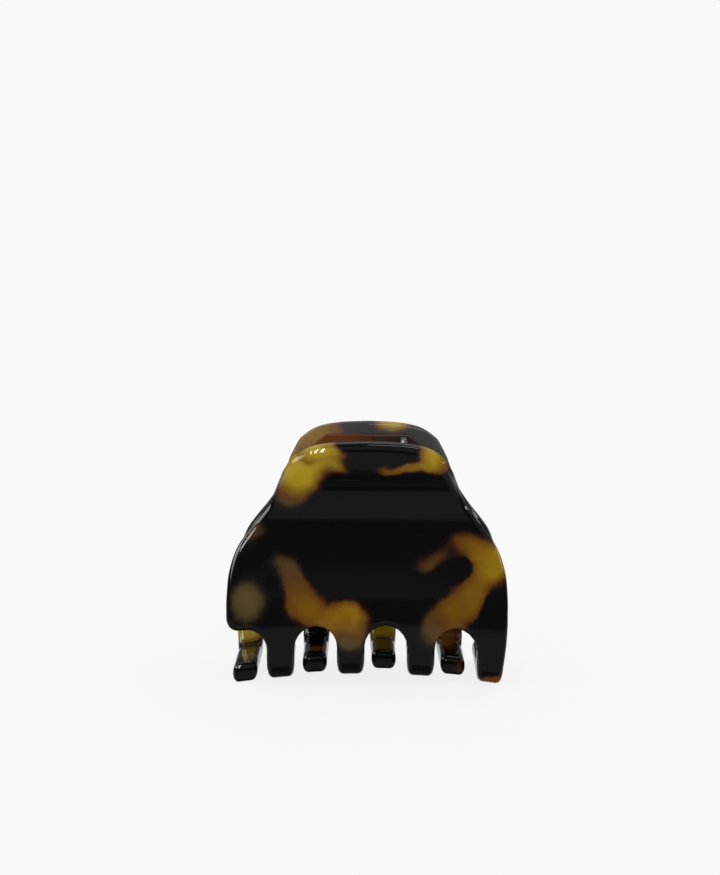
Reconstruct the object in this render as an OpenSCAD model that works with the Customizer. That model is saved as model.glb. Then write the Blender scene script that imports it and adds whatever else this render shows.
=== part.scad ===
// Claw clip: two matching bent acetate jaws with curled teeth, hinged on a pin with a torsion spring.
// +X runs along the width, the front jaw is on -Y, +Z is up, and the teeth stand on Z = 0.

/* [Jaws] */
// Thickness of the acetate sheet
sheet_t = 3.5; // [2.8:0.1:4]
// Distance from the middle plane to the middle of the sheet at the handle's top
handle_reach = 14.5; // [14:0.1:15]
// Height of the middle of the sheet at the handle's top
handle_z = 45.3; // [45:0.1:45.6]
// Lean of the handle's top, in degrees from upright
handle_lean = 12.7; // [10:0.1:15]
// Height of the scallops between the middle teeth
scallop_z = 11.6; // [11:0.1:12.4]
// Drop of the outer scallops below the middle ones
scallop_drop = 0.8; // [0:0.1:1]
// How much narrower the rear jaw is cut at each side
rear_trim = 0.5; // [0:0.1:0.8]

/* [Teeth] */
// Distance between the middles of two neighbouring teeth
tooth_pitch = 12.4; // [12.2:0.05:12.7]
// Place along X of the front jaw's first tooth
first_tooth_x = -15.25; // [-15.6:0.05:-15.1]
// Width of a tooth below the scallops
tooth_w = 4.9; // [4:0.1:5.2]
// Width of a tooth at its tip
tip_w = 4.4; // [4:0.1:4.6]
// Rounding of a tip's corners
tip_round = 1.1; // [0.6:0.1:1.8]
// Radius of the arc that the row of teeth sags along
sag_radius = 165; // [150:5:400]

/* [Hinge] */
// Height of the pin's axis
pin_z = 33; // [32.5:0.1:33.5]
// Radius of the pin
pin_r = 1; // [0.8:0.05:1.2]
// Length of the pin
pin_len = 25.8; // [25.5:0.1:26.4]
// Running clearance of the front jaw's lugs on the pin
pin_clearance = 0.05; // [0.02:0.01:0.1]
// Outer radius of the hinge lugs
lug_r = 2.6; // [2.2:0.1:2.8]
// Distance from the pin's axis to the blocks' leaning faces
face_gap = 3.1; // [2.9:0.05:3.3]
// Lean of the blocks' faces, in degrees from upright
face_lean = 32; // [30:1:34]
// Half width of a hinge block along its top edge
block_top_half_w = 7.25; // [6:0.25:9]
// Half width of a hinge block below its slanted ends
block_half_w = 12.7; // [12.7:0.1:13.2]

/* [Spring] */
// Diameter of the spring wire
wire_d = 1.2; // [0.8:0.1:1.3]
// Half length of the coil along the pin
coil_half_len = 7.3; // [6:0.1:7.4]
// Length of each leg from the coil to its free end
leg_len = 12; // [8:0.5:12.5]

/* [Hidden] */
$fn = 48;

tooth_count = 4;
jaw_depth = 40;
jaw_span = 60;

// Bends down the sheet, each [length, turn in degrees], from the handle's top to where the teeth begin
body_bends = [[8.2, 30.3], [11.8, -55.6], [11.4, -4]];
hem_bend = [10.5, 38.6];
curl_bend = [5.5, 74];
// Straight run of each tooth past its curl, and its slight turn back per millimetre
tip_runs = [12, 10.7, 12.4, 14.3];
tip_turn = -0.65;

// Right edge of the jaw from the crown down, as [x, z] points on a smooth curve
edge_points = [
    [0, 44.9], [7.8, 44.2], [11.5, 42.7], [13.5, 40.8], [14.8, 38.4], [15.7, 36], [16.9, 33.3],
    [19, 30.3], [21.2, 27.3], [23.1, 24.4], [24.4, 20.6], [24.8, 16.7], [24.8, 11.8], [24.5, 7], [24.3, -1]
];

gap_r = (tooth_pitch - tooth_w) / 2;
lobe_z = scallop_z - scallop_drop;
lobe_round = 2.2;
lobe_fillet = 3.6;
tooth_left_x = first_tooth_x - tooth_w / 2;

lug_w = 2.4;
lug_gap = 0.3;
inner_lug_x = 7.6;
block_bottom_z = 30.2;
block_top_z = 42.4;
chamfer_drop = 4;
face_foot = [face_gap * cos(face_lean), pin_z - face_gap * sin(face_lean)];
face_low = 4.9;
face_high = 12.95;

coil_r = face_gap - wire_d / 2 - 0.03;
wire_pitch = wire_d * 0.95;
coil_turns = floor((2 * coil_half_len - wire_d) / wire_pitch);

// A point on the sheet is [distance from the middle plane, height, lean]. bend_end follows one bend.
function bend_end(p, bend) =
    let (r = bend[0] * 180 / (bend[1] * PI), lean = p[2] + bend[1])
    [p[0] + r * (cos(lean) - cos(p[2])), p[1] - r * (sin(lean) - sin(p[2])), lean];

// The sheet's points down a list of bends, with a point about every 9 degrees
function sheet_points(p, bends, i = 0) =
    i == len(bends) ? [p] :
    let (steps = ceil(abs(bends[i][1]) / 9))
    concat(
        [for (k = [0 : steps - 1]) k == 0 ? p : bend_end(p, bends[i] * k / steps)],
        sheet_points(bend_end(p, bends[i]), bends, i + 1)
    );

function offset_point(p, d) = [-p[0] - d * cos(p[2]), p[1] - d * sin(p[2])];

function sheet_outline(points) = concat(
    [for (p = points) offset_point(p, sheet_t / 2)],
    [for (i = [len(points) - 1 : -1 : 0]) offset_point(points[i], -sheet_t / 2)]
);

// A smooth curve through the middle two of four points
function curve_point(a, b, c, d, t) =
    (2 * b + (c - a) * t + (2 * a - 5 * b + 4 * c - d) * t * t + (3 * b - a - 3 * c + d) * t * t * t) / 2;

function smooth_edge(points, steps = 3) = concat(
    [for (i = [0 : len(points) - 2], k = [0 : steps - 1])
        curve_point(
            i == 0 ? [-points[1][0], points[1][1]] : points[i - 1],
            points[i],
            points[i + 1],
            points[min(i + 2, len(points) - 1)],
            k / steps
        )],
    [points[len(points) - 1]]
);

function arc(centre, r, from, to, steps = 6) =
    [for (k = [0 : steps]) centre + r * [cos(from + (to - from) * k / steps), sin(from + (to - from) * k / steps)]];

function tooth_x(i) = first_tooth_x + i * tooth_pitch;
function sag(x) = x * x / (2 * sag_radius);

handle_top = [handle_reach, handle_z, handle_lean];
body_line = sheet_points(handle_top, concat(body_bends, [hem_bend]));
tooth_top = sheet_points(handle_top, body_bends)[len(sheet_points(handle_top, body_bends)) - 1];

// Extrusions of a drawing in the side view, along X, and of one in the front view, along Y
module along_x(width) { rotate([90, 0, 90]) linear_extrude(width, center = true) children(); }
module along_y(depth) { rotate([90, 0, 0]) linear_extrude(depth, center = true) children(); }

module body_sheet() {
    along_x(jaw_span) polygon(sheet_outline(body_line));
}

// The jaw's outline in the front view, narrower by trim at each side
module jaw_outline(trim) {
    edge = smooth_edge([for (p = edge_points) [p[0] - trim * min(p[0] / 10, 1), p[1]]]);
    polygon(concat(edge, [for (i = [len(edge) - 1 : -1 : 1]) [-edge[i][0], edge[i][1]]]));
}

// Arch-topped gap between two teeth
module tooth_gap(x, top_z) {
    translate([x, top_z - gap_r]) circle(gap_r);
    translate([x - gap_r, -2]) square([2 * gap_r, top_z - gap_r + 2]);
}

// The toothless corner beside the first tooth: a fillet to the tooth and a rounded outer corner
module lobe_cut(trim) {
    fillet_x = tooth_left_x - lobe_fillet;
    translate([-jaw_span / 2, -2]) square([jaw_span / 2 + fillet_x, lobe_z + 2]);
    translate([-jaw_span / 2, -2]) square([jaw_span / 2 + tooth_left_x, lobe_z - lobe_fillet + 2]);
    translate([fillet_x, lobe_z - lobe_fillet]) circle(lobe_fillet);
    corner = [lobe_round - 24.8 + trim, lobe_z + lobe_round];
    difference() {
        translate([-jaw_span / 2, lobe_z - 1]) square([jaw_span / 2 + corner[0], lobe_round + 1]);
        translate(corner) circle(lobe_round);
    }
}

module jaw_body(trim) {
    difference() {
        intersection() {
            body_sheet();
            along_y(jaw_depth) jaw_outline(trim);
        }
        along_y(jaw_depth + 2) {
            for (i = [0 : tooth_count - 2])
                tooth_gap(tooth_x(i) + tooth_pitch / 2, i == tooth_count - 2 ? lobe_z : scallop_z);
            lobe_cut(trim);
        }
    }
}

// Top view of a tooth, which narrows to a rounded tip
module tooth_plan(tip_y) {
    half = tooth_w / 2;
    tip_half = tip_w / 2;
    polygon(concat(
        [[-half, -jaw_depth / 2], [half, -jaw_depth / 2], [half, -3]],
        arc([tip_half - tip_round, tip_y - tip_round], tip_round, 0, 90),
        arc([tip_round - tip_half, tip_y - tip_round], tip_round, 90, 180),
        [[-half, -3]]
    ));
}

module tooth(i) {
    run = tip_runs[i];
    points = sheet_points(tooth_top, [hem_bend, curl_bend, [run, run * tip_turn]]);
    tip_y = -points[len(points) - 1][0];
    translate([tooth_x(i), 0, -sag(tooth_x(i))])
        intersection() {
            along_x(tooth_w) polygon(sheet_outline(points));
            linear_extrude(jaw_span, center = true) tooth_plan(tip_y);
        }
}

module jaw(trim = 0) {
    jaw_body(trim);
    for (i = [0 : tooth_count - 1]) tooth(i);
}

// Slanted-end front view of a hinge block
module block_front() {
    slant_z = block_top_z - chamfer_drop;
    polygon([
        [-block_half_w, block_bottom_z - 1], [block_half_w, block_bottom_z - 1], [block_half_w, slant_z],
        [block_top_half_w, block_top_z + 0.2], [-block_top_half_w, block_top_z + 0.2], [-block_half_w, slant_z]
    ]);
}

// Side view of a hinge block: its leaning face, and its back inside the sheet's thickness
module block_side() {
    low = face_foot + face_low * [sin(face_lean), cos(face_lean)];
    high = face_foot + face_high * [sin(face_lean), cos(face_lean)];
    back = [for (p = body_line) if (p[1] < block_top_z - 0.2 && p[1] > block_bottom_z) [-p[0], p[1]]];
    polygon(concat([[-low[0], block_bottom_z], [-low[0], low[1]], [-high[0], high[1]]], back));
}

module lug(x) {
    translate([x, 0, pin_z]) rotate([0, 90, 0]) cylinder(h = lug_w, r = lug_r);
    translate([x, -face_foot[0] - 3, pin_z - lug_r]) cube([lug_w, face_foot[0] + 3, 2 * lug_r]);
}

// Block glued inside a handle, with one lug near the spring and one outside the other jaw's lug
module hinge_block(bore_r) {
    difference() {
        union() {
            intersection() {
                along_x(2 * block_half_w) block_side();
                along_y(jaw_depth) block_front();
            }
            lug(inner_lug_x + lug_w + lug_gap);
            lug(-inner_lug_x - lug_w);
        }
        body_sheet();
        translate([-jaw_span / 2, 0, pin_z]) rotate([0, 90, 0]) cylinder(h = jaw_span, r = bore_r);
    }
}

// One leg of the spring, lying along the front block's leaning face
module spring_leg() {
    foot = coil_r * [cos(face_lean), -sin(face_lean)];
    translate([-coil_half_len + wire_d / 2, -foot[0], pin_z + foot[1]])
        rotate([face_lean, 0, 0])
            cylinder(h = leg_len, d = wire_d);
}

module front_jaw() { color("#3a2410") jaw(); }

module rear_jaw() { color("#3a2410") rotate([0, 0, 180]) jaw(rear_trim); }

module front_hinge_block() { color("#96500f") hinge_block(pin_r + pin_clearance); }

module rear_hinge_block() { color("#96500f") rotate([0, 0, 180]) hinge_block(pin_r); }

module hinge_pin() {
    color("silver") translate([-pin_len / 2, 0, pin_z]) rotate([0, 90, 0]) cylinder(h = pin_len, r = pin_r);
}

module torsion_spring() {
    color("lightgray") {
        translate([0, 0, pin_z]) rotate([0, 90, 0]) rotate_extrude() {
            for (k = [0 : coil_turns])
                translate([coil_r, (k - coil_turns / 2) * wire_pitch]) circle(d = wire_d, $fn = 24);
        }
        spring_leg();
        rotate([0, 0, 180]) spring_leg();
    }
}

front_jaw();
rear_jaw();
front_hinge_block();
rear_hinge_block();
hinge_pin();
torsion_spring();
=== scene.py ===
import math

import bmesh
import bpy
import numpy as np
from mathutils import Matrix, Vector, geometry


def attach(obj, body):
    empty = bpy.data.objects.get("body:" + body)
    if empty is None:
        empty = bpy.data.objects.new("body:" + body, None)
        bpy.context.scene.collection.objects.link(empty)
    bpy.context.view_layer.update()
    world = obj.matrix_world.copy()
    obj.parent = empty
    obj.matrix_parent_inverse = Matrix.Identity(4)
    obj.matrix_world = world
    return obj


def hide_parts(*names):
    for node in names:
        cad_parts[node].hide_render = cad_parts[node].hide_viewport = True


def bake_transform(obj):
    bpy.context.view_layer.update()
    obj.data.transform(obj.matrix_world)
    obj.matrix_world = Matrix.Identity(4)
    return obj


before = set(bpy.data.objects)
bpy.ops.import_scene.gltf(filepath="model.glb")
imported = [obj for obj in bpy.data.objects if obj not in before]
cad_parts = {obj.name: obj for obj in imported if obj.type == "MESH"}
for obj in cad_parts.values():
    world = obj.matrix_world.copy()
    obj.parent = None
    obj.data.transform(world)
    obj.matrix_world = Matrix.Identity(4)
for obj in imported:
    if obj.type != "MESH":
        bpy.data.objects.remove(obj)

MM = 0.001

# ---------------------------------------------------------------- sizes, close to the CAD model's

# CROWN, BENDS, HALF_WIDTHS, TOOTH_ENDS and the teeth's places and widths were fitted to the photograph's
# outline by another program and then rounded. They are not worked out from driving sizes.

SHEET_T = 3.5
EDGE_ROUND = 1.05
CROWN = (14.3, 44.5, 15.7)              # the top edge's distance from the middle plane, height and lean
BENDS = (                                # length of each bend down the sheet, and its turn in degrees
    (7.4, 27.3), (11.8, -55.6), (11.4, -4.0), (10.5, 38.6), (5.5, 74), (18, -11.7),
)
HALF_WIDTHS = (                          # half width of the sheet at distances from the crown
    (0, 0), (0.15, 4.2), (0.35, 6.3), (0.65, 8.2), (1.2, 10.1), (2, 11.5), (3, 12.7), (4, 13.55), (7, 14.8),
    (10, 15.75), (13, 16.95), (16, 19.0), (19, 21.2), (22, 23.1), (26, 24.4), (30, 24.8), (32.5, 24.82),
)
REAR_SHIFT = (0.25, 0, -0.2)             # how far the rear jaw sits off its exact place
REAR_TRIM = 0.5                          # how much narrower the rear jaw is at each side
SCALLOP = 35.2
TOOTH_PITCH = 12.4
FIRST_TOOTH = -15.25
TOOTH_HALF = 2.45
TIP_HALF = 2.2
TIP_ROUND = 1.12
TOOTH_ENDS = (58.6, 57.3, 59.0, 60.9)
SAG_RADIUS = 165.0
LOBE_ROUND = 2.2
LOBE_FILLET = 3.6

PIN_Z = 33.0
PIN_R = 1.0
LUG_R = 2.6
BORE_R = 1.05
BLOCK_TOP_Z = 42.4
BLOCK_LOW_Z = 30.2
FACE_GAP = 3.1
FACE_LEAN = math.radians(32)
WIRE_R = 0.6
COIL_HALF = 7.3
LEG_LEN = 12
BLOCK_HALF = 12.7
BLOCK_TOP_HALF = 7.25
BLOCK_SLANT = 1.28                       # how fast a block widens below its top edge
LUG_STARTS = (-10.0, 10.3)               # where the front block's lugs begin along X
LUG_W = 2.4
LUG_BACK = -5.6
BLOCK_BEVEL = 0.22

PALE = 0.947                             # the even tone of floor and background
FLOOR_GLOW = 0.88
ROOM_LIGHT = (                           # brightness in reflections in front, by elevation in degrees
    (-90, 0.02), (-77, 0.03), (-70, 0.16), (-30, 0.20), (-15, 0.18), (-10, 0.03), (7, 0.02), (16, 0.03),
    (24, 0.20), (60, 0.24), (75, 0.06), (90, 0.05),
)
BACK_LIGHT = (                           # the same beyond the clip
    (-90, 0.03), (-42, 0.04), (-34, 0.45), (-20, 0.65), (-8, 0.60), (-3, 0.08), (25, 0.08), (40, 0.70),
    (60, 0.45), (75, 0.08),
)


# ---------------------------------------------------------------- small helpers

def smoothstep(t):
    t = np.clip(t, 0.0, 1.0)
    return t * t * (3 - 2 * t)


def through(points, steps):
    """A smooth curve through points."""
    p = np.array(points, float)
    p = np.vstack([2 * p[0] - p[1], p, 2 * p[-1] - p[-2]])
    out = []
    for a, b, c, d in zip(p[:-3], p[1:-2], p[2:-1], p[3:]):
        for t in np.linspace(0, 1, steps, endpoint=False):
            out.append((2 * b + (c - a) * t + (2 * a - 5 * b + 4 * c - d) * t ** 2
                        + (3 * b - a - 3 * c + d) * t ** 3) / 2)
    return out + [p[-2]]


def arc(cx, cy, r, start, end, steps=10):
    angles = np.radians(np.linspace(start, end, steps + 1))
    return [np.array((cx + r * math.cos(a), cy + r * math.sin(a))) for a in angles]


def respaced(points, gap):
    """The closed outline again, with even gaps between its points."""
    p = np.array(points)
    p = p[np.linalg.norm(p - np.roll(p, 1, axis=0), axis=1) > 1e-6]
    closed = np.vstack([p, p[:1]])
    run = np.concatenate([[0], np.cumsum(np.linalg.norm(np.diff(closed, axis=0), axis=1))])
    at = np.linspace(0, run[-1], int(run[-1] / gap), endpoint=False)
    return np.stack([np.interp(at, run, closed[:, 0]), np.interp(at, run, closed[:, 1])], 1)


def new_object(name, verts, faces):
    mesh = bpy.data.meshes.new(name)
    mesh.from_pydata([tuple(v) for v in verts], [], [tuple(int(i) for i in f) for f in faces])
    mesh.update()
    mesh.shade_smooth()
    piece = bpy.data.objects.new(name, mesh)
    bpy.context.scene.collection.objects.link(piece)
    return piece


# ---------------------------------------------------------------- the bent sheet

def sheet_line():
    """Distance down the sheet, and there the sheet's distance from the middle plane, height and lean."""
    run = np.arange(0, sum(length for length, _ in BENDS), 0.05)
    knots, leans = [0.0], [CROWN[2]]
    for length, turn in BENDS:
        knots.append(knots[-1] + length)
        leans.append(leans[-1] + turn)
    lean = np.interp(run, knots, leans)
    soft = np.ones(31) / 31
    lean = np.convolve(np.pad(lean, 15, mode="edge"), soft, mode="valid")
    lean = np.radians(lean)
    middle = (lean[:-1] + lean[1:]) / 2
    out = CROWN[0] + np.concatenate([[0], np.cumsum(-np.sin(middle) * 0.05)])
    up = CROWN[1] + np.concatenate([[0], np.cumsum(-np.cos(middle) * 0.05)])
    return run, out, up, lean


RUN, OUT, UP, LEAN = sheet_line()


def bent(x, s, h):
    """Front jaw's points, in metres, from flat ones: x across, s down the sheet, h out of its middle."""
    out, up, lean = np.interp(s, RUN, OUT), np.interp(s, RUN, UP), np.interp(s, RUN, LEAN)
    sag = x * x / (2 * SAG_RADIUS) * smoothstep((s - 22) / 20)
    return np.stack([x, -(out + h * np.cos(lean)), up - h * np.sin(lean) - sag], -1) * MM


def tooth_x(i):
    return FIRST_TOOTH + i * TOOTH_PITCH


def tooth_outline(i):
    """One tooth in the flat sheet, from its right shoulder round its tip to its left shoulder."""
    x, end = tooth_x(i), TOOTH_ENDS[i]
    root = SCALLOP + (TOOTH_PITCH / 2 - TOOTH_HALF)
    right = [np.array(p) for p in ((x + TOOTH_HALF, root), (x + TOOTH_HALF, 42.0), (x + TIP_HALF, 46.0))]
    if i == 3:
        right = [np.array(p) for p in ((24.82, 34.0), (24.65, 37.0), (24.25, 41.0), (23.95, 46.0))]
    tip = arc(x + TIP_HALF - TIP_ROUND, end - TIP_ROUND, TIP_ROUND, 0, 90)
    tip += arc(x - TIP_HALF + TIP_ROUND, end - TIP_ROUND, TIP_ROUND, 90, 180)
    left = [np.array(p) for p in ((x - TIP_HALF, 46.0), (x - TOOTH_HALF, 42.0), (x - TOOTH_HALF, root))]
    return right + tip + left


def jaw_outline():
    """The whole flat outline: down the right side, along the teeth to the left, and up the left side."""
    side = through([(w, s) for s, w in HALF_WIDTHS], 6)
    points = list(side)
    gap_r = TOOTH_PITCH / 2 - TOOTH_HALF
    for i in (3, 2, 1, 0):
        points += tooth_outline(i)
        if i:
            points += arc(tooth_x(i) - TOOTH_PITCH / 2, SCALLOP + gap_r, gap_r, 0, -180)[1:-1]
    left = tooth_x(0) - TOOTH_HALF
    points += arc(left - LOBE_FILLET, SCALLOP + LOBE_FILLET, LOBE_FILLET, 0, -90)
    points += arc(LOBE_ROUND - 24.82, SCALLOP - LOBE_ROUND, LOBE_ROUND, 90, 180)
    points += [np.array((-x, y)) for x, y in reversed(side[1:])]
    return respaced(points, 0.38)


def inside(points, loop):
    """Which points lie inside a closed loop, and how far each is from it."""
    a, b = loop, np.roll(loop, -1, axis=0)
    ab = b - a
    hit = np.zeros(len(points), bool)
    far = np.full(len(points), 1e9)
    for (ax, ay), (bx, by), (dx, dy) in zip(a, b, ab):
        px, py = points[:, 0], points[:, 1]
        crosses = (ay > py) != (by > py)
        hit ^= crosses & (px < dx * (py - ay) / (dy if dy else 1e-12) + ax)
        t = np.clip(((px - ax) * dx + (py - ay) * dy) / (dx * dx + dy * dy + 1e-12), 0, 1)
        far = np.minimum(far, (px - ax - t * dx) ** 2 + (py - ay - t * dy) ** 2)
    return hit, np.sqrt(far)


def flat_jaw():
    """The flat jaw as points (x, s, h), normals and faces: rounded rings at the edge, even rows inside."""
    loop = jaw_outline()
    ahead, behind = np.roll(loop, -1, axis=0), np.roll(loop, 1, axis=0)
    tangent = ahead - behind
    tangent /= np.linalg.norm(tangent, axis=1)[:, None]
    outward = np.stack([tangent[:, 1], -tangent[:, 0]], 1)
    area = 0.5 * np.sum(loop[:, 0] * ahead[:, 1] - ahead[:, 0] * loop[:, 1])
    if area < 0:
        outward = -outward
    count = len(loop)
    crown = 1 - smoothstep((loop[:, 1] - 2) / 9)
    tips = smoothstep((loop[:, 1] - 50) / 6)
    inset_r = EDGE_ROUND + 0.5 * crown
    height_r = EDGE_ROUND + 0.5 * crown + 0.5 * tips
    rings = [(a, 1) for a in np.radians((90, 75, 60, 45, 30, 15, 0))]
    rings += [(a, -1) for a in np.radians((0, 15, 30, 45, 60, 75, 90))]
    points, normals, faces = [], [], []
    for angle, side in rings:
        inset = inset_r * (1 - math.cos(angle))
        ring = loop - outward * inset[:, None]
        height = side * (SHEET_T / 2 - height_r * (1 - math.sin(angle)))
        points.append(np.column_stack([ring, height]))
        sideways = outward * math.cos(angle) / inset_r[:, None]
        normals.append(np.column_stack([sideways, side * math.sin(angle) / height_r]))
    for r in range(len(rings) - 1):
        for i in range(count):
            j = (i + 1) % count
            quad = (r * count + i, r * count + j, (r + 1) * count + j, (r + 1) * count + i)
            faces.append(quad if area > 0 else quad[::-1])
    inner = points[0][:, :2]
    xs, ss = np.arange(-25, 25.01, 0.5), np.arange(0.5, 62, 0.5)
    grid = np.stack(np.meshgrid(xs, ss), -1).reshape(-1, 2)
    hit, far = inside(grid, inner)
    grid = grid[hit & (far > 0.22)]
    flat = [Vector(p) for p in np.vstack([inner, grid])]
    edges = [(i, (i + 1) % count) for i in range(count)]
    verts, _, tris, origin, _, _ = geometry.delaunay_2d_cdt(flat, edges, [], 1, 1e-6)
    source = [o[0] for o in origin]
    base = sum(len(p) for p in points)
    last = (len(rings) - 1) * count
    points += [np.column_stack([grid, np.full(len(grid), SHEET_T / 2)])]
    points += [np.column_stack([grid, np.full(len(grid), -SHEET_T / 2)])]
    normals += [np.tile((0.0, 0.0, 1.0), (len(grid), 1)), np.tile((0.0, 0.0, -1.0), (len(grid), 1))]
    for tri in tris:
        top = [source[v] if source[v] < count else base + source[v] - count for v in tri]
        low = [last + source[v] if source[v] < count else base + len(grid) + source[v] - count for v in tri]
        faces.append(tuple(top))
        faces.append(tuple(reversed(low)))
    return np.vstack(points), np.vstack(normals), faces


def bent_normals(p, n):
    """Normals of the bent sheet, from small steps along the flat one."""
    step = 0.02
    along_x = bent(p[:, 0] + step, p[:, 1], p[:, 2]) - bent(p[:, 0] - step, p[:, 1], p[:, 2])
    along_s = bent(p[:, 0], p[:, 1] + step, p[:, 2]) - bent(p[:, 0], p[:, 1] - step, p[:, 2])
    along_h = bent(p[:, 0], p[:, 1], p[:, 2] + step) - bent(p[:, 0], p[:, 1], p[:, 2] - step)
    out = (n[:, :1] * np.cross(along_s, along_h) + n[:, 1:2] * np.cross(along_h, along_x)
           + n[:, 2:] * np.cross(along_x, along_s))
    volume = np.einsum("ij,ij->i", along_x, np.cross(along_s, along_h))
    out *= np.sign(volume)[:, None]
    return out / np.linalg.norm(out, axis=1)[:, None]


def make_jaw(name, flat, turned):
    """One jaw from the shared flat mesh. turned is the rear jaw, half round about the vertical."""
    points, normals, faces = flat
    trim = REAR_TRIM * np.clip(points[:, 0] / 10, -1, 1) * (1 - smoothstep((points[:, 1] - 30) / 8))
    verts = bent(points[:, 0] - (trim if turned else 0), points[:, 1], points[:, 2])
    directions = bent_normals(points, normals)
    if turned:
        verts = verts * (-1, -1, 1) + np.array(REAR_SHIFT) * MM
        directions = directions * (-1, -1, 1)
    jaw = new_object(name, verts, faces)
    bm = bmesh.new()
    bm.from_mesh(jaw.data)
    bmesh.ops.recalc_face_normals(bm, faces=bm.faces)
    bm.to_mesh(jaw.data)
    bm.free()
    place = jaw.data.attributes.new("flat_place", "FLOAT_VECTOR", "POINT")
    place.data.foreach_set("vector", points.astype(np.float32).ravel())
    jaw.data.shade_smooth()
    jaw.data.normals_split_custom_set_from_vertices([tuple(d) for d in directions])
    return jaw


# ---------------------------------------------------------------- materials

class Tree:
    """A material's nodes, made and linked in one line each."""

    def __init__(self, name):
        self.material = bpy.data.materials.new(name)
        self.material.use_nodes = True
        self.tree = self.material.node_tree
        self.shader = self.tree.nodes["Principled BSDF"]

    def node(self, kind, inputs=(), **settings):
        made = self.tree.nodes.new(kind)
        for key, value in settings.items():
            setattr(made, key, value)
        for key, value in dict(inputs).items():
            self.put(made.inputs[key], value)
        return made

    def put(self, socket, value):
        if isinstance(value, bpy.types.NodeSocket):
            self.tree.links.new(value, socket)
        else:
            socket.default_value = value

    def math(self, operation, *values):
        return self.node("ShaderNodeMath", dict(enumerate(values)), operation=operation).outputs[0]

    def noise(self, place, scale, detail=2.0, roughness=0.5):
        made = self.node("ShaderNodeTexNoise", {"Vector": place, "Scale": scale, "Detail": detail,
                                                "Roughness": roughness})
        return made.outputs["Color"], made.outputs["Fac"]

    def ramp(self, value, stops, interpolation="LINEAR"):
        made = self.node("ShaderNodeValToRGB", {"Fac": value})
        made.color_ramp.interpolation = interpolation
        elements = made.color_ramp.elements
        while len(elements) < len(stops):
            elements.new(0.5)
        for element, (at, colour) in zip(elements, stops):
            element.position = at
            element.color = (*colour, 1)
        return made.outputs["Color"]

    def finish(self, **values):
        for key, value in values.items():
            self.put(self.shader.inputs[key.replace("_", " ")], value)
        return self.material


FRINGE_STOPS = (                         # acetate's colour from the dark ground to a patch's red-brown rim
    (0.00, (0.0030, 0.0029, 0.0030)),
    (0.35, (0.0075, 0.0045, 0.0037)),
    (0.62, (0.0420, 0.0130, 0.0040)),
    (1.00, (0.1000, 0.0360, 0.0050)),
)
OLIVE_STOPS = (                          # the same where amber lies under smoky acetate
    (0.00, (0.0030, 0.0029, 0.0030)),
    (0.40, (0.0090, 0.0072, 0.0052)),
    (1.00, (0.0550, 0.0380, 0.0150)),
)
TONE_STOPS = (                           # colour inside a patch, from smoky olive by brown to clear yellow
    (0.00, (0.110, 0.078, 0.0230)),
    (0.30, (0.075, 0.036, 0.0085)),
    (0.45, (0.115, 0.050, 0.0055)),
    (0.65, (0.200, 0.093, 0.0050)),
    (0.82, (0.260, 0.165, 0.0060)),
    (1.00, (0.400, 0.270, 0.0150)),
)


def patch_field(t, place, patches):
    """Presence of amber and its tone, from soft elliptical hills.

    Each patch is (x, s, half across, half down, turn in degrees, height, tone)."""
    total = (0, 0, 0)
    for x, s, across, down, turn, height, tone in patches:
        local = t.node("ShaderNodeMapping", {
            "Vector": place, "Location": (x, s, 0), "Rotation": (0, 0, math.radians(turn)),
            "Scale": (across, down, 1.0)}, vector_type="TEXTURE").outputs[0]
        dot = t.node("ShaderNodeVectorMath", {0: local, 1: local}, operation="DOT_PRODUCT")
        square = dot.outputs["Value"]
        hill = t.math("POWER", 0.45, square)
        weight = (height, abs(height) * tone, abs(height))
        added = t.node("ShaderNodeVectorMath", {0: hill, 1: weight, 2: total}, operation="MULTIPLY_ADD")
        total = added.outputs[0]
    split = t.node("ShaderNodeSeparateXYZ", {0: total})
    tone = t.math("DIVIDE", split.outputs["Y"], t.math("ADD", split.outputs["Z"], 0.02))
    return split.outputs["X"], tone


def wandered(t, place, scale, reach):
    """The place again, pushed about by reach millimetres in soft waves."""
    wave, _ = t.noise(place, scale, 1.5)
    wave = t.node("ShaderNodeVectorMath", {0: wave, 1: (0.5, 0.5, 0.5)}, operation="SUBTRACT").outputs[0]
    push = (2 * reach, 2 * reach, 0)
    return t.node("ShaderNodeVectorMath", {0: wave, 1: push, 2: place}, operation="MULTIPLY_ADD").outputs[0]


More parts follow.
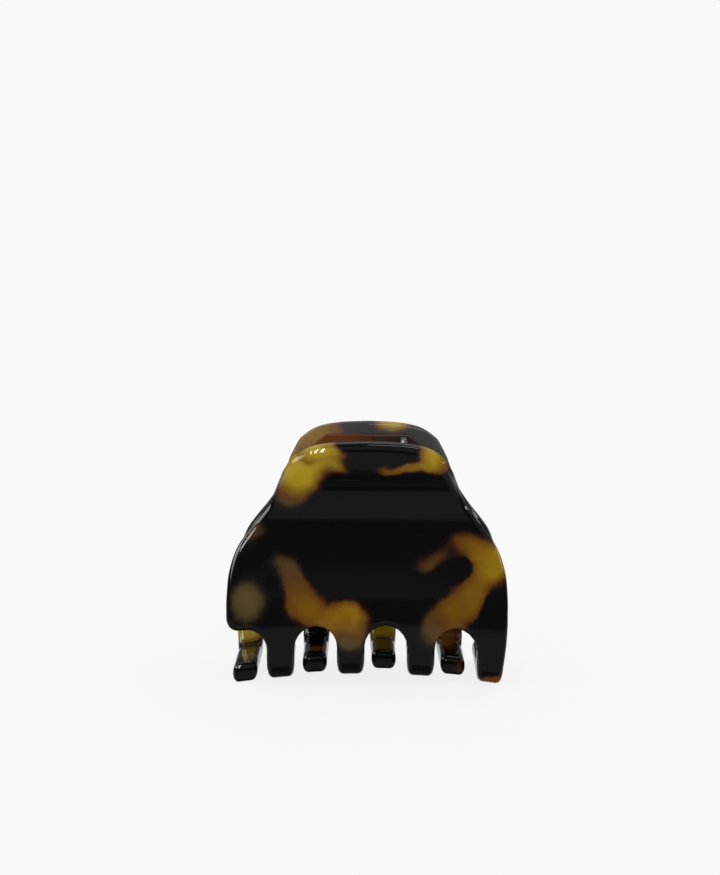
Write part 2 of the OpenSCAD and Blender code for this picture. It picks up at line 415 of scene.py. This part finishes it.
def tortoise(name, patches, seed, painted_reflection=0.0):
    """Polished tortoiseshell acetate with patches of amber, laid out on the flat sheet.

    The last argument is how much pale painted reflection is mixed into the colour of the handle's inner face near
    its top."""
    t = Tree(name)
    flat = t.node("ShaderNodeAttribute", attribute_name="flat_place").outputs["Vector"]
    flat = t.node("ShaderNodeVectorMath", {0: flat, 1: (1, 1, 0)}, operation="MULTIPLY").outputs[0]
    seeded = t.node("ShaderNodeVectorMath", {0: flat, 1: (0, 0, seed)}, operation="ADD").outputs[0]
    drifted = wandered(t, seeded, 0.18, 1.6)
    level = t.node("ShaderNodeVectorMath", {0: drifted, 1: (1, 1, 0)}, operation="MULTIPLY").outputs[0]
    field, tone = patch_field(t, wandered(t, level, 0.9, 0.3), patches)
    _, mottle = t.noise(seeded, 0.3, 3.0, 0.55)
    mottle = t.math("SUBTRACT", mottle, 0.5)
    presence = t.math("MULTIPLY_ADD", mottle, 0.16, field)
    tone = t.math("MULTIPLY_ADD", mottle, 0.35, tone)
    rim = t.node("ShaderNodeMapRange", {"Value": presence, "From Min": 0.24, "From Max": 0.60}).outputs[0]
    smoke = t.node("ShaderNodeMapRange", {"Value": tone, "From Min": 0.05, "From Max": -0.35}).outputs[0]
    brown, olive = t.ramp(rim, FRINGE_STOPS), t.ramp(rim, OLIVE_STOPS)
    rims = t.node("ShaderNodeMix", {"Factor": smoke, "A": brown, "B": olive}, data_type="RGBA")
    fringe = rims.outputs["Result"]
    inner = t.node("ShaderNodeMapRange", {"Value": presence, "From Min": 0.42, "From Max": 1.05},
                   interpolation_type="SMOOTHSTEP").outputs[0]
    step = t.node("ShaderNodeMapRange", {"Value": tone, "From Min": -0.5}).outputs[0]
    amber = t.ramp(step, TONE_STOPS)
    mix = t.node("ShaderNodeMix", {"Factor": inner, "A": fringe, "B": amber}, data_type="RGBA")
    colour = mix.outputs["Result"]
    # Painted reflection: a pale milky tint mixed into the colour of the handle's inner face near its top, in
    # place of the bright room that face reflects.
    if painted_reflection:
        whole = t.node("ShaderNodeAttribute", attribute_name="flat_place").outputs["Vector"]
        at = t.node("ShaderNodeSeparateXYZ", {0: whole})
        high = t.node("ShaderNodeMapRange", {"Value": at.outputs["Y"], "From Min": 16.0, "From Max": 8.0,
                                             "To Max": painted_reflection}, interpolation_type="SMOOTHSTEP").outputs[0]
        inward = t.node("ShaderNodeMapRange", {"Value": at.outputs["Z"], "From Min": 1.4,
                                               "From Max": -1.0}).outputs[0]
        _, bloom = t.noise(seeded, 0.12, 2.0)
        amount = t.math("MULTIPLY", t.math("MULTIPLY", high, inward), t.math("ADD", bloom, 0.5))
        painted_reflection_mix = t.node("ShaderNodeMix", {"Factor": amount, "A": colour, "B": (0.80, 0.76, 0.68, 1)},
                       data_type="RGBA")
        colour = painted_reflection_mix.outputs["Result"]
    _, haze = t.noise(seeded, 1.6, 4.0, 0.6)
    roughness = t.math("ADD", 0.03, t.math("MULTIPLY", haze, 0.05))
    _, grain = t.noise(seeded, 5.0, 3.0, 0.6)
    bump = t.node("ShaderNodeBump", {"Height": grain, "Strength": 0.008, "Distance": 0.0002}).outputs[0]
    return t.finish(Base_Color=colour, Roughness=roughness, IOR=1.49, Normal=bump)


def hinge_acetate():
    """Dark amber acetate of the hinge blocks, warmer towards one end."""
    t = Tree("hinge_acetate")
    place = t.node("ShaderNodeTexCoord").outputs["Object"]
    place = t.node("ShaderNodeVectorMath", {0: place, 1: (1000, 1000, 1000)}, operation="MULTIPLY").outputs[0]
    x = t.node("ShaderNodeSeparateXYZ", {0: place}).outputs["X"]
    _, cloud = t.noise(place, 0.25, 3.0, 0.6)
    across = t.node("ShaderNodeMapRange", {"Value": x, "From Min": 6.0, "From Max": -5.0}).outputs[0]
    amount = t.math("ADD", t.math("MULTIPLY", across, 0.7), t.math("MULTIPLY", cloud, 0.5))
    stops = ((0.15, (0.016, 0.009, 0.006)), (0.5, (0.036, 0.013, 0.006)), (0.95, (0.110, 0.030, 0.004)))
    colour = t.ramp(amount, stops)
    _, haze = t.noise(place, 1.5, 3.0)
    roughness = t.math("ADD", 0.05, t.math("MULTIPLY", haze, 0.08))
    return t.finish(Base_Color=colour, Roughness=roughness, IOR=1.49)


def steel(name, colour, rough, streak_scale):
    """Drawn or plated steel with fine streaks along X."""
    t = Tree(name)
    place = t.node("ShaderNodeTexCoord").outputs["Object"]
    place = t.node("ShaderNodeVectorMath", {0: place, 1: streak_scale}, operation="MULTIPLY").outputs[0]
    _, streak = t.noise(place, 1.0, 4.0, 0.6)
    roughness = t.math("ADD", rough, t.math("MULTIPLY", streak, 0.15))
    tint = t.ramp(streak, ((0.3, tuple(c * 0.8 for c in colour)), (0.7, colour)))
    bump = t.node("ShaderNodeBump", {"Height": streak, "Strength": 0.08, "Distance": 0.0001}).outputs[0]
    return t.finish(Base_Color=tint, Metallic=1.0, Roughness=roughness, Normal=bump)


# The patches started from places picked on the photograph, which another program turned into millimetres on
# the flat sheet. They were then moved.
FRONT_PATCHES = (
    (-12.2, 3.6, 4.6, 3.0, -8, 0.9, 0.95), (-12.0, 7.8, 3.5, 4.0, 18, 0.80, 1.0),
    (-14.2, 12.6, 3.2, 2.4, 30, 0.42, -0.8), (-6.2, 3.4, 3.4, 1.4, 20, 0.6, 0.70),
    (-8.0, 0.8, 4.4, 1.0, 10, 0.6, 1.0), (-10.6, 2.6, 2.2, 0.7, 0, -0.35, 0.3),
    (12.0, 1.6, 2.8, 3.2, 0, 0.95, 0.85), (6.6, 4.3, 4.8, 1.0, -4, 0.80, 0.60),
    (13.8, 4.4, 2.0, 1.0, 0, 0.25, -0.6), (-20.4, 18.8, 2.2, 3.2, 35, 0.66, -0.3),
    (-21.2, 30.5, 3.3, 3.9, 0, 0.80, -0.55), (-15.0, 24.6, 2.8, 2.2, 10, 0.46, -0.35),
    (-12.4, 28.6, 1.9, 3.0, -18, 0.76, 0.0), (-10.6, 32.4, 3.4, 2.7, 25, 0.90, 0.30),
    (-3.2, 34.0, 3.7, 2.6, 5, 1.0, 0.60), (-7.0, 33.4, 2.8, 1.8, 10, 0.5, 0.35),
    (-3.0, 38.0, 2.6, 2.4, 0, 0.62, -0.5), (18.4, 21.4, 4.2, 2.8, 30, 0.72, 0.25),
    (22.2, 25.0, 2.7, 3.8, -15, 1.0, 0.85), (19.4, 28.6, 2.9, 3.0, 35, 0.85, 0.35),
    (16.0, 31.9, 4.2, 2.5, -38, 0.85, 0.35), (11.6, 35.6, 3.2, 3.6, -30, 0.55, -0.3),
    (11.0, 24.3, 3.6, 2.0, -28, 0.58, -0.1), (22.8, 44.6, 3.8, 2.4, 0, 1.1, 0.1),
    (24.6, 36.0, 1.4, 4.0, 4, 0.42, -0.2), (17.2, 26.2, 2.2, 1.6, 5, -0.6, 0.0),
    (22.5, 32.0, 1.9, 3.8, -8, -0.80, 0.0), (-15.3, 46.9, 3.4, 2.4, 0, 1.0, 0.2),
)
REAR_PATCHES = (
    (9.6, 3.2, 5.2, 4.6, 15, 0.9, 0.60), (-4.6, 0.8, 3.2, 2.2, 0, 1.05, 1.15),
    (14.5, 9.0, 2.6, 4.5, 0, 0.7, 0.4), (-9.0, 15.0, 6.0, 4.0, 20, 0.7, 0.4),
    (12.0, 24.0, 8.0, 4.0, -20, 0.8, 0.4), (-16.0, 28.0, 5.0, 4.0, 0, 0.8, 0.5),
    (22.4, 39.4, 4.2, 5.0, 0, 1.3, 1.0), (21.6, 49.4, 4.5, 2.4, 0, -0.9, 0.0),
    (21.4, 55.5, 2.6, 2.6, 0, 0.66, -0.4), (9.5, 54.8, 3.2, 3.2, 0, 0.80, -0.05),
    (-2.8, 41.0, 3.8, 5.6, 0, 1.3, 0.80), (-1.6, 48.6, 2.4, 2.6, 0, -1.1, 0.0),
    (-2.0, 54.0, 2.6, 2.4, 0, 0.6, -0.3), (-15.6, 42.0, 3.6, 6.2, 0, 0.46, 0.0),
    (-14.0, 47.0, 1.8, 6.0, 0, 0.50, 0.4), (-16.9, 59.6, 1.7, 1.7, 0, 0.6, 0.1),
)


# ---------------------------------------------------------------- hinge

def lathe_x(name, profile, steps=48):
    """A turned piece about the pin's axis. profile is (x, radius) from one end to the other."""
    verts, faces = [], []
    for x, r in profile:
        for k in range(steps):
            a = 2 * math.pi * k / steps
            verts.append((x * MM, r * math.cos(a) * MM, (PIN_Z + r * math.sin(a)) * MM))
    for i in range(len(profile) - 1):
        for k in range(steps):
            j = (k + 1) % steps
            faces.append((i * steps + k, i * steps + j, (i + 1) * steps + j, (i + 1) * steps + k))
    faces.append(tuple(range(steps - 1, -1, -1)))
    faces.append(tuple((len(profile) - 1) * steps + k for k in range(steps)))
    return new_object(name, verts, faces)


def sweep(path, radius, sides=12):
    """Points and faces of a round wire along a path, with closed ends."""
    path = np.array(path)
    tangent = np.gradient(path, axis=0)
    tangent /= np.linalg.norm(tangent, axis=1)[:, None]
    side = np.cross(tangent[0], (0.3, 0.2, 1.0))
    verts, faces = [], []
    for p, d in zip(path, tangent):
        side = side - d * np.dot(side, d)
        side /= np.linalg.norm(side)
        other = np.cross(d, side)
        for k in range(sides):
            a = 2 * math.pi * k / sides
            verts.append((p + radius * (math.cos(a) * side + math.sin(a) * other)) * MM)
    rings = len(path)
    for i in range(rings - 1):
        for k in range(sides):
            j = (k + 1) % sides
            faces.append((i * sides + k, i * sides + j, (i + 1) * sides + j, (i + 1) * sides + k))
    faces.append(tuple(range(sides - 1, -1, -1)))
    faces.append(tuple((rings - 1) * sides + k for k in range(sides)))
    return verts, faces


def make_spring():
    """Close-wound coil on the pin whose two ends run up the hinge blocks' faces."""
    coil_r = FACE_GAP - WIRE_R - 0.03
    reach = COIL_HALF - WIRE_R
    foot = np.array((-math.cos(FACE_LEAN), -math.sin(FACE_LEAN))) * coil_r
    up = np.array((-math.sin(FACE_LEAN), math.cos(FACE_LEAN)))
    start = math.atan2(foot[1], foot[0])
    full_turns = round(2 * reach / (2.06 * WIRE_R)) - 1
    front_leg = [(-reach, *(foot + up * d)) for d in np.linspace(LEG_LEN, 0.4, 14)]
    end = math.atan2(foot[1], -foot[0])
    winding = 2 * math.pi * full_turns + (end - start) % (2 * math.pi)
    coil = []
    for t in np.linspace(0, 1, 460):
        a = start + winding * t
        coil.append((-reach + 2 * reach * t, coil_r * math.cos(a), coil_r * math.sin(a)))
    rear_leg = [(-x, -y, z) for x, y, z in reversed(front_leg)]
    path = np.array(front_leg + coil + rear_leg) + (0, 0, PIN_Z)
    verts, faces = sweep(path, WIRE_R)
    return new_object("spring", verts, faces)


def block_half(z):
    """Half width of a hinge block at a height: slanted ends over a plain band."""
    return min(BLOCK_HALF, BLOCK_TOP_HALF + (BLOCK_TOP_Z + 0.2 - z) * BLOCK_SLANT)


def make_block(name, turned):
    """Hinge block: a slab on the handle's inner face with a leaning face and slanted ends, and two lugs."""
    foot = np.array((FACE_GAP * math.cos(FACE_LEAN), PIN_Z - FACE_GAP * math.sin(FACE_LEAN)))
    along = np.array((math.sin(FACE_LEAN), math.cos(FACE_LEAN)))
    bm = bmesh.new()
    front = [foot + along * d for d in (4.9, 7.6, 10.3, 12.95)]
    front = [np.array((front[0][0], z)) for z in (BLOCK_LOW_Z, 32.0, 34.0)] + front
    rows = []
    for u, z in front:
        half = block_half(z)
        at = np.argmin(np.abs(UP[:900] - z))
        back = OUT[at] - 0.6
        rows.append([bm.verts.new((x * MM, -y * MM, z * MM)) for y, x in
                     ((back, -half), (u, -half), (u, half), (back, half))])
    for a, b in zip(rows[:-1], rows[1:]):
        for k in range(4):
            bm.faces.new((a[k], a[(k + 1) % 4], b[(k + 1) % 4], b[k]))
    bm.faces.new(rows[0][::-1])
    bm.faces.new(rows[-1])
    nose = [(LUG_R * math.cos(a), LUG_R * math.sin(a)) for a in np.linspace(-math.pi / 2, math.pi / 2, 25)]
    ring = [(LUG_BACK, -LUG_R), (-3.2, -LUG_R), (-1.5, -LUG_R)] + nose
    ring += [(-1.5, LUG_R), (-3.2, LUG_R), (LUG_BACK, LUG_R)]
    ring += [(LUG_BACK, z) for z in (1.3, 0.0, -1.3)]
    bore = [(BORE_R * y / math.hypot(y, z), BORE_R * z / math.hypot(y, z)) for y, z in ring]
    for x0 in LUG_STARTS:
        loops = [[bm.verts.new((x * MM, y * MM, (PIN_Z + z) * MM)) for y, z in outline]
                 for x, outline in ((x0, ring), (x0 + LUG_W, ring), (x0 + LUG_W, bore), (x0, bore))]
        for near, far in zip(loops, loops[1:] + loops[:1]):
            for k in range(len(ring)):
                j = (k + 1) % len(ring)
                bm.faces.new((near[k], near[j], far[j], far[k]))
    bmesh.ops.recalc_face_normals(bm, faces=bm.faces)
    mesh = bpy.data.meshes.new(name)
    bm.to_mesh(mesh)
    bm.free()
    block = bpy.data.objects.new(name, mesh)
    bpy.context.scene.collection.objects.link(block)
    if turned:
        mesh.transform(Matrix.Rotation(math.pi, 4, "Z"))
    bevel = block.modifiers.new("polished edges", "BEVEL")
    bevel.width = BLOCK_BEVEL * MM
    bevel.segments = 3
    bevel.limit_method = "ANGLE"
    bevel.angle_limit = math.radians(25)
    mesh.shade_smooth()
    return block


# ---------------------------------------------------------------- camera, light and floor

def make_camera():
    """A long lens a little above the clip, aimed over it so that the clip stands low in the frame.

    Its numbers were fitted to the photograph's outline by another program."""
    middle = Vector((0, 0, 20.5))
    azimuth, elevation, away = math.radians(-0.375), math.radians(11.89), 355.8
    back = Vector((math.sin(azimuth) * math.cos(elevation), -math.cos(azimuth) * math.cos(elevation),
                   math.sin(elevation)))
    data = bpy.data.cameras.new("camera")
    data.sensor_width = 36
    data.lens = 80.52
    data.clip_start, data.clip_end = 0.01, 20
    camera = bpy.data.objects.new("camera", data)
    bpy.context.scene.collection.objects.link(camera)
    camera.location = (middle + back * away) * MM
    aim = Vector((-1.4, 0, 43.23)) * MM - camera.location
    turn = aim.to_track_quat("-Z", "Y") @ Matrix.Rotation(math.radians(0.343), 3, "Z").to_quaternion()
    camera.rotation_mode = "QUATERNION"
    camera.rotation_quaternion = turn
    bpy.context.scene.camera = camera


def make_world():
    """Pale all round for the eye and for soft light, and for reflections a dim room, brighter beyond the clip."""
    world = bpy.data.worlds.new("studio")
    world.use_nodes = True
    bpy.context.scene.world = world
    tree = world.node_tree
    tree.nodes.clear()
    new, link = tree.nodes.new, tree.links.new
    out = new("ShaderNodeOutputWorld")
    seen, soft, room = (new("ShaderNodeBackground") for _ in range(3))
    seen.inputs["Color"].default_value = (PALE, PALE, PALE, 1)
    soft.inputs["Color"].default_value = (1.0, 1.0, 1.0, 1)
    place = new("ShaderNodeTexCoord")
    split = new("ShaderNodeSeparateXYZ")
    link(place.outputs["Generated"], split.inputs[0])
    height = new("ShaderNodeMapRange")
    height.inputs["From Min"].default_value = -1
    link(split.outputs["Z"], height.inputs["Value"])
    sides = []
    for stops in (ROOM_LIGHT, BACK_LIGHT):
        ramp = new("ShaderNodeValToRGB")
        link(height.outputs[0], ramp.inputs["Fac"])
        while len(ramp.color_ramp.elements) < len(stops):
            ramp.color_ramp.elements.new(0.5)
        for element, (elevation, value) in zip(ramp.color_ramp.elements, stops):
            element.position = 0.5 + 0.5 * math.sin(math.radians(elevation))
            element.color = (value, value, value * 1.03, 1)
        sides.append(ramp.outputs["Color"])
    behind = new("ShaderNodeMapRange")
    behind.interpolation_type = "SMOOTHSTEP"
    behind.inputs["From Min"].default_value, behind.inputs["From Max"].default_value = 0.05, 0.45
    link(split.outputs["Y"], behind.inputs["Value"])
    both = new("ShaderNodeMix")
    both.data_type = "RGBA"
    link(behind.outputs[0], both.inputs["Factor"])
    link(sides[0], both.inputs["A"])
    link(sides[1], both.inputs["B"])
    link(both.outputs["Result"], room.inputs["Color"])
    path = new("ShaderNodeLightPath")
    reflected, mixed = new("ShaderNodeMixShader"), new("ShaderNodeMixShader")
    link(path.outputs["Is Glossy Ray"], reflected.inputs["Fac"])
    link(soft.outputs[0], reflected.inputs[1])
    link(room.outputs[0], reflected.inputs[2])
    link(path.outputs["Is Camera Ray"], mixed.inputs["Fac"])
    link(reflected.outputs[0], mixed.inputs[1])
    link(seen.outputs[0], mixed.inputs[2])
    link(mixed.outputs[0], out.inputs[0])


def towards(azimuth, elevation):
    """A direction from the clip. Azimuth is from the camera's side, positive to the right."""
    a, e = math.radians(azimuth), math.radians(elevation)
    return Vector((math.sin(a) * math.cos(e), -math.cos(a) * math.cos(e), math.sin(e)))


def glow(name, start, end, width, radiance):
    """A long lamp between two directions, which only polished surfaces show."""
    away = 700
    top, low = towards(*start) * away, towards(*end) * away
    middle = (top + low) / 2
    facing = middle.normalized()
    along = top - low
    along = (along - facing * along.dot(facing)).normalized()
    data = bpy.data.lights.new(name, "AREA")
    data.shape = "RECTANGLE"
    data.size, data.size_y = width * MM, (top - low).length * MM
    data.energy = radiance * math.pi * data.size * data.size_y
    lamp = bpy.data.objects.new(name, data)
    bpy.context.scene.collection.objects.link(lamp)
    across = along.cross(facing)
    lamp.matrix_world = Matrix.Translation((Vector((0, 0, 30)) + middle) * MM) @ Matrix(
        (across, along, facing)).transposed().to_4x4()
    lamp.visible_diffuse = False
    lamp.visible_camera = False


def make_lights():
    glow("window strip 1", (-72, 56), (-34, 24), 36, 18)
    glow("window strip 2", (-56, 62), (-25, 22), 40, 20)
    glow("window strip 3", (-38, 62), (-17, 20), 40, 20)
    glow("left window", (-116, 22), (-56, 19), 200, 4.5)
    glow("ceiling strip", (0, 86), (110, 67), 60, 5)
    glow("right strip", (80, 16), (125, 16), 50, 4)


def make_floor():
    """Pale and evenly lit, with a light of its own that keeps the shadow under the clip faint."""
    size = 6000 * MM
    corners = [(-size, -size, 0), (size, -size, 0), (size, size, 0), (-size, size, 0)]
    floor = new_object("floor", corners, [(0, 1, 2, 3)])
    t = Tree("pale_floor")
    place = t.node("ShaderNodeTexCoord").outputs["Object"]
    _, cloud = t.noise(place, 40.0, 3.0)
    tone = PALE * (1 - FLOOR_GLOW)
    colour = t.ramp(cloud, ((0.3, (tone - 0.002,) * 3), (0.7, (tone + 0.002,) * 3)))
    t.finish(Base_Color=colour, Roughness=1.0, Specular_IOR_Level=0.0, Emission_Color=(PALE, PALE, PALE, 1),
             Emission_Strength=FLOOR_GLOW)
    floor.data.materials.append(t.material)
    floor.visible_glossy = False


# ---------------------------------------------------------------- putting it together

def dress(piece, material, slot, body, *nodes):
    piece.data.materials.clear()
    piece.data.materials.append(material)
    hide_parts(*nodes)
    if body:
        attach(piece, body)


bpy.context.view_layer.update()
make_camera()
bpy.context.scene.view_settings.view_transform = "Standard"

flat = flat_jaw()
front_jaw = make_jaw("front_jaw_shell", flat, turned=False)
rear_jaw = make_jaw("rear_jaw_shell", flat, turned=True)
front_acetate = tortoise("tortoise_front", FRONT_PATCHES, 3.0)
# The rear jaw's acetate has a pale painted reflection on the inner face of its handle.
rear_acetate = tortoise("tortoise_rear", REAR_PATCHES, 11.0, painted_reflection=0.06)
dress(front_jaw, front_acetate, "tortoise_acetate", "front_half", "front_jaw")
dress(rear_jaw, rear_acetate, "tortoise_acetate", "rear_half", "rear_jaw")

amber_block = hinge_acetate()
dress(make_block("front_block", False), amber_block, "hinge_acetate", "front_half", "front_hinge_block")
dress(make_block("rear_block", True), amber_block, "hinge_acetate", "rear_half", "rear_hinge_block")

PIN_PROFILE = ((-12.85, 0.7), (-12.85, 0.8), (-12.7, PIN_R), (12.7, PIN_R), (12.85, 0.8), (12.85, 0.7))
pin = lathe_x("pin", PIN_PROFILE)
pin_steel = steel("drawn_steel", (0.62, 0.61, 0.59), 0.2, (300, 4000, 4000))
dress(pin, pin_steel, "pin_steel", "rear_half", "hinge_pin")

spring = make_spring()
spring_steel = steel("plated_wire", (0.24, 0.26, 0.29), 0.28, (3000, 3000, 600))
dress(spring, spring_steel, "spring_steel", None, "torsion_spring")
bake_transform(spring)

make_world()
make_lights()
make_floor()
